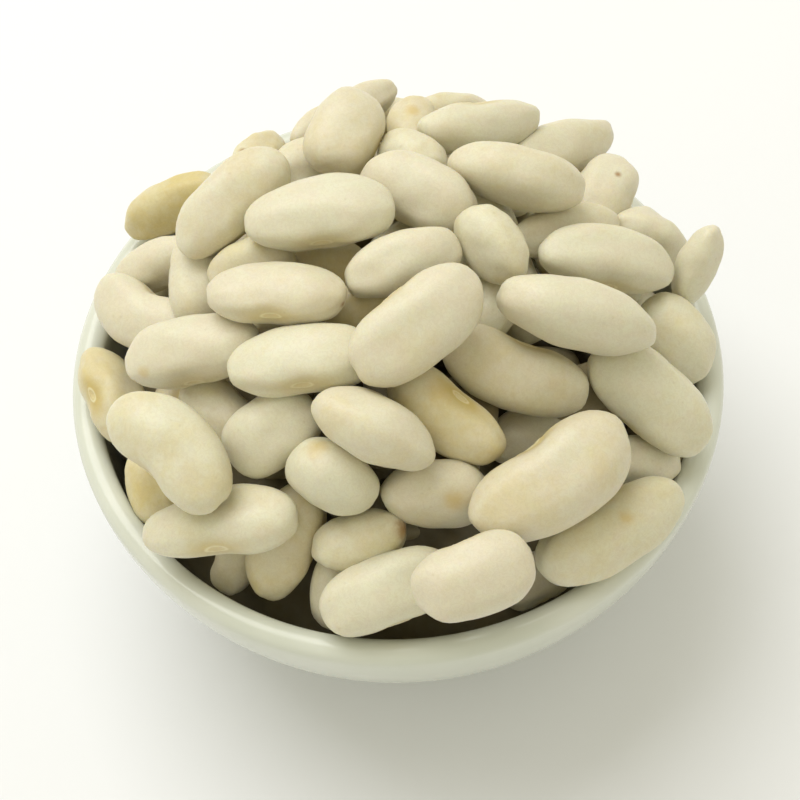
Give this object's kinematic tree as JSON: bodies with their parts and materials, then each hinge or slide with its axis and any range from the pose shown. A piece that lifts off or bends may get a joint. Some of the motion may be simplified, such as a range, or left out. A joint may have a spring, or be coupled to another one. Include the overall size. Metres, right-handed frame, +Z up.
{
  "type": "bowl of dried beans",
  "caption": "Small round white porcelain bowl on a foot ring, heaped above its rim with dried white kidney beans.",
  "frame": {"origin": "middle of the bowl's foot, on the surface it stands on", "axes": "+Z up along the bowl's axis; -Y is the side that the picture sees"},
  "size_m": [0.095, 0.095, 0.0724],
  "materials": {
    "bowl": "glossy white glaze",
    "beans": "satin dry bean skin, cream white"
  },
  "bodies": {
    "root": {"bowl": "bowl", "beans": "beans"}
  },
  "joints": []
}
